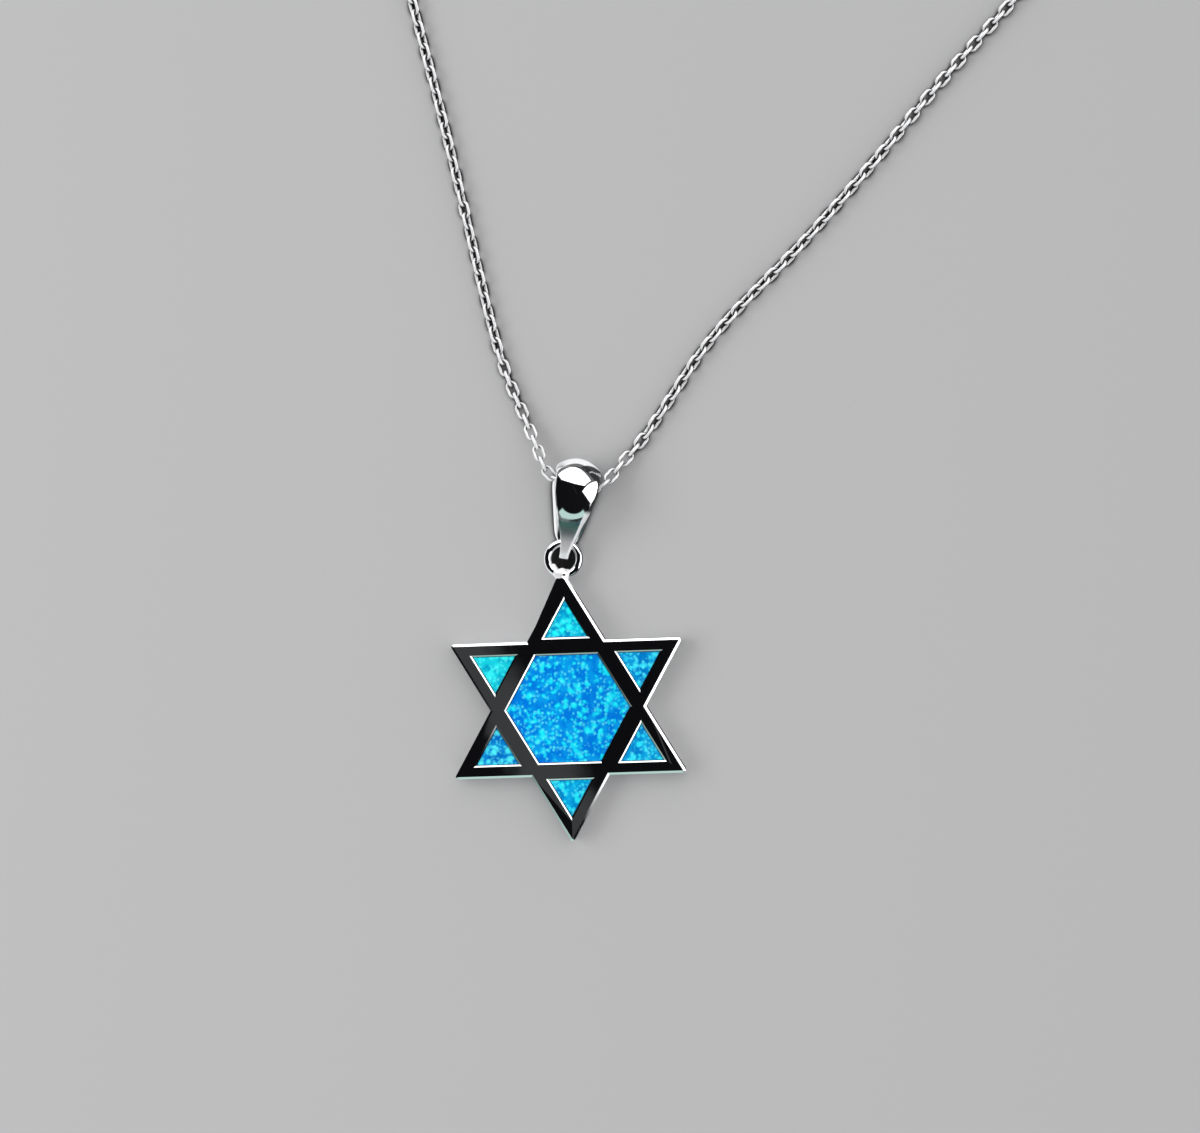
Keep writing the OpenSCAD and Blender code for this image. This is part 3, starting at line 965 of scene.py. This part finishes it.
# Painted shade: the surface's colour darkens in the gaps that ambient occlusion finds
gaps = add_node(nodes, "ShaderNodeAmbientOcclusion", samples=12)
from_ring = distance_from(ring_middle_y)
raised = map_range(nodes, links, from_ring, 5.0 * MM, 12.0 * MM, NEAR_BAIL_REACH, GAP_REACH)
deep = map_range(nodes, links, from_ring, 1.0 * MM, 1.6 * MM, RING_REACH, GAP_REACH)
links.new(math_node(nodes, links, "MAXIMUM", raised, deep), gaps.inputs["Distance"])
beyond_star = map_range(nodes, links, floor_y, 12.6 * MM, 13.4 * MM, 0.0, 1.0)
in_ring = map_range(nodes, links, from_ring, 1.1 * MM, 1.5 * MM, 1.0, 0.0)
with_gaps = either(nodes, links, beyond_star, in_ring)
open_share = map_range(nodes, links, gaps.outputs["AO"], 0.6, 0.94, 0.02, 1.0)
gap_shade = mix(nodes, links, "FLOAT", with_gaps, 1.0, open_share)
print("gaps: reach", round(GAP_REACH / MM, 1), "mm, in the ring", round(RING_REACH / MM, 1), "mm")

# %% [markdown]
# To mirrors the surface shows a painted pool of light: bright near the bail and dim further off and to the
# right of a slanted line, which makes the dark side of the bail. Light Path tells which rays come from a
# mirror.

# %% Tone of the surface, plain and mirrored
FLOOR_TONE = 0.49
BRIGHT_SPOT_Y = 17.5 * MM
# Painted pool of light, seen only by mirrors
near_bail = map_range(nodes, links, distance_from(BRIGHT_SPOT_Y), 12 * MM, 17 * MM, 1.0, 0.14)
to_the_right = math_node(nodes, links, "MULTIPLY_ADD", floor_y, -0.3, floor_x)
on_the_left = map_range(nodes, links, to_the_right, -2.6 * MM, -1.9 * MM, 1.0, 0.06)
painted_mirror_tone = both(nodes, links, near_bail, on_the_left)
plain = math_node(nodes, links, "MULTIPLY", gap_shade, FLOOR_TONE)
seen = add_node(nodes, "ShaderNodeLightPath")
level = mix(nodes, links, "FLOAT", seen.outputs["Is Glossy Ray"], plain, painted_mirror_tone)
grey = add_node(nodes, "ShaderNodeCombineColor")
for channel in ("Red", "Green", "Blue"):
    links.new(level, grey.inputs[channel])
links.new(grey.outputs["Color"], shader.inputs["Base Color"])
print("surface: plain tone", FLOOR_TONE, "nodes", len(nodes))

# %% [markdown]
# ## The light
# Matt surfaces are lit by an even sky, with one broad soft box on the left that lets shadows fall to the
# right. Mirrors see something else, as they would in a studio: a dark room with a few bright panels. The
# panels are masks over the directions in which a ray can leave.

# %% Directions in the world
world = bpy.data.worlds.new("studio")
bpy.context.scene.world = world
world.use_nodes = True
nodes, links = world.node_tree.nodes, world.node_tree.links
nodes.clear()
towards = add_node(nodes, "ShaderNodeTexCoord").outputs["Generated"]
to_x, to_y, to_z = separate(nodes, links, towards)
IN_DEGREES = 180 / math.pi
height = math_node(nodes, links, "ARCSINE", to_z)
height = math_node(nodes, links, "MULTIPLY", height, IN_DEGREES)


def reach(x_share, y_share, z_share=0.0):
    """How far a direction reaches along a slanted line."""
    part = math_node(nodes, links, "MULTIPLY", to_x, x_share)
    part = math_node(nodes, links, "MULTIPLY_ADD", to_y, y_share, part)
    return math_node(nodes, links, "MULTIPLY_ADD", to_z, z_share, part)


def angle_from(azimuth):
    """How far to the side of an azimuth a direction lies, in degrees, without its sign."""
    turned = add_node(nodes, "ShaderNodeVectorRotate", rotation_type="Z_AXIS")
    turned.inputs["Angle"].default_value = -math.radians(azimuth)
    links.new(towards, turned.inputs["Vector"])
    x, y, _ = separate(nodes, links, turned.outputs["Vector"])
    angle = math_node(nodes, links, "ARCTAN2", y, x)
    angle = math_node(nodes, links, "MULTIPLY", angle, IN_DEGREES)
    return math_node(nodes, links, "ABSOLUTE", angle)


print("world:", world.name)

# %% [markdown]
# The two large panels have straight edges, so that their reflections on the bail end in clean lines. The
# one beyond the chain and the one on the right draw the white lines on the bevels that face them, with a
# dim bar between them that crosses the bail.

# %% Large panels with straight edges
ROOM_TONE = (0.004, 0.004, 0.005)
WHITE = (2.2, 2.2, 2.2)
DIM = (0.14, 0.145, 0.15)
SOFTNESS = 0.02
# Each panel: its edges and its colour. An edge has the shares of x, y and z of a direction that are added
# up, and the least that they add up to inside the panel. The first panel is the dim bar.
PANELS = [
    ([(0.24, 1, 0, 0.31), (1, 0, 0, 0), (0, 0, 1, 0.07)], DIM),
    ([(0.24, 1, 0, 0.31), (1, 0, 0, -0.78), (-1.3, 1, 0, -0.67), (-0.28, 0, 1, 0.08)], WHITE),
    ([(1, 0.75, 0, 0.34), (1.3, -1, 0, 0.84), (0, 0, 1, 0.0)], WHITE)
]
room = ROOM_TONE
for edges, light in PANELS:
    mask = 1.0
    for x_share, y_share, z_share, least in edges:
        across = reach(x_share, y_share, z_share)
        inside = map_range(nodes, links, across, least - SOFTNESS, least + SOFTNESS, 0.0, 1.0)
        mask = both(nodes, links, mask, inside)
    room = mix(nodes, links, "RGBA", mask, room, light)
print("panels:", len(PANELS))

# %% [markdown]
# A low pale band behind the star colours the bail's neck. A faint strip near the top of the room gives
# the star's face its grey band. The strip's edges are measured across its length, by the sine of the
# angle from straight up.

# %% The low pale band behind the star
BAND_AZIMUTH = -100
BAND_HALF_WIDTH = 48
BAND_HEIGHTS = (-12, 20)
BAND_SOFTNESS = 3
BAND_TONE = (0.5, 0.7, 0.64)


def up_to(value, most):
    """A mask where an angle is less than the most."""
    return map_range(nodes, links, value, most - BAND_SOFTNESS, most + BAND_SOFTNESS, 1.0, 0.0)


side = up_to(angle_from(BAND_AZIMUTH), BAND_HALF_WIDTH)
above = outside(nodes, links, up_to(height, BAND_HEIGHTS[0]))
below = up_to(height, BAND_HEIGHTS[1])
band = both(nodes, links, side, both(nodes, links, above, below))
room = mix(nodes, links, "RGBA", band, room, BAND_TONE)
print("band: from", BAND_HEIGHTS[0], "to", BAND_HEIGHTS[1], "degrees up")

# %% The faint strip overhead
STRIP_ACROSS = math.radians(32)
STRIP_TONE = (0.044, 0.045, 0.046)
# Where each edge starts and ends
NEAR_EDGE = (-0.117, -0.1125)
FAR_EDGE = (-0.098, -0.090)
OVERHEAD = (0.93, 0.97)
across = reach(math.cos(STRIP_ACROSS), math.sin(STRIP_ACROSS))
near_side = map_range(nodes, links, across, *NEAR_EDGE, 0.0, 1.0)
far_side = map_range(nodes, links, across, *FAR_EDGE, 1.0, 0.0)
overhead = map_range(nodes, links, to_z, *OVERHEAD, 0.0, 1.0)
strip = both(nodes, links, overhead, both(nodes, links, near_side, far_side))
room = mix(nodes, links, "RGBA", strip, room, STRIP_TONE)
print("strip: about", round(math.degrees(math.asin(-NEAR_EDGE[0])), 1), "degrees from straight up")

# %% [markdown]
# Light Path tells the mirrors' rays from the others. The soft box is hidden from mirrors, because the
# painted room stands in for it there.

# %% World
EVEN_LIGHT = 0.82
EVEN_TONE = (0.985, 0.985, 1.0)
mirrored_room = add_node(nodes, "ShaderNodeBackground")
links.new(room, mirrored_room.inputs["Color"])
even_light = add_node(nodes, "ShaderNodeBackground")
even_light.inputs["Color"].default_value = (*EVEN_TONE, 1)
even_light.inputs["Strength"].default_value = EVEN_LIGHT
seen = add_node(nodes, "ShaderNodeLightPath")
pick = add_node(nodes, "ShaderNodeMixShader")
links.new(seen.outputs["Is Glossy Ray"], pick.inputs["Fac"])
links.new(even_light.outputs["Background"], pick.inputs[1])
links.new(mirrored_room.outputs["Background"], pick.inputs[2])
output = add_node(nodes, "ShaderNodeOutputWorld")
links.new(pick.outputs["Shader"], output.inputs["Surface"])
print("world: nodes", len(nodes))

# %% Soft box on the left
BOX_AT = (-0.42, 0.06, 0.34)
box_data = bpy.data.lights.new("soft_box_left", "AREA")
box_data.shape = "RECTANGLE"
box_data.size = 0.5
box_data.size_y = 0.3
box_data.energy = 1.2
soft_box = bpy.data.objects.new("soft_box_left", box_data)
bpy.context.scene.collection.objects.link(soft_box)
soft_box.location = BOX_AT
soft_box.rotation_mode = "QUATERNION"
soft_box.rotation_quaternion = (-soft_box.location).to_track_quat("-Z", "Y")
soft_box.visible_glossy = False
print("soft box:", round(soft_box.location.length, 2), "m away")

# %% [markdown]
# ## The camera
# The photograph was taken from almost straight above, about 220 mm away and a few degrees to the right,
# with the star turned two degrees on the surface. The camera is aimed with its own right and up
# directions, so nothing else turns.

# %% Camera
CAMERA_AT = Vector((14.65, 11.57, 221.5)) * MM
LOOKS_AT = Vector((3.14, 11.98, 1.8)) * MM
TURN = math.radians(2)
back = (CAMERA_AT - LOOKS_AT).normalized()
right = Vector((math.cos(TURN), -math.sin(TURN), 0))
right = (right - right.dot(back) * back).normalized()
up = back.cross(right)
camera_data = bpy.data.cameras.new("camera")
camera_data.lens = 77.65
camera_data.sensor_width = 36
camera_data.clip_start = 0.01
camera = bpy.data.objects.new("camera", camera_data)
bpy.context.scene.collection.objects.link(camera)
camera.matrix_world = Matrix.Translation(CAMERA_AT) @ Matrix((right, up, back)).transposed().to_4x4()
bpy.context.scene.camera = camera
print("camera:", round((CAMERA_AT - LOOKS_AT).length / MM, 1), "mm from the place that it looks at")

# %% [markdown]
# ## The finish
# Colours are shown as they are, without the look of a film.

# %% Colour management
bpy.context.scene.view_settings.view_transform = "Standard"
print("view transform:", bpy.context.scene.view_settings.view_transform)
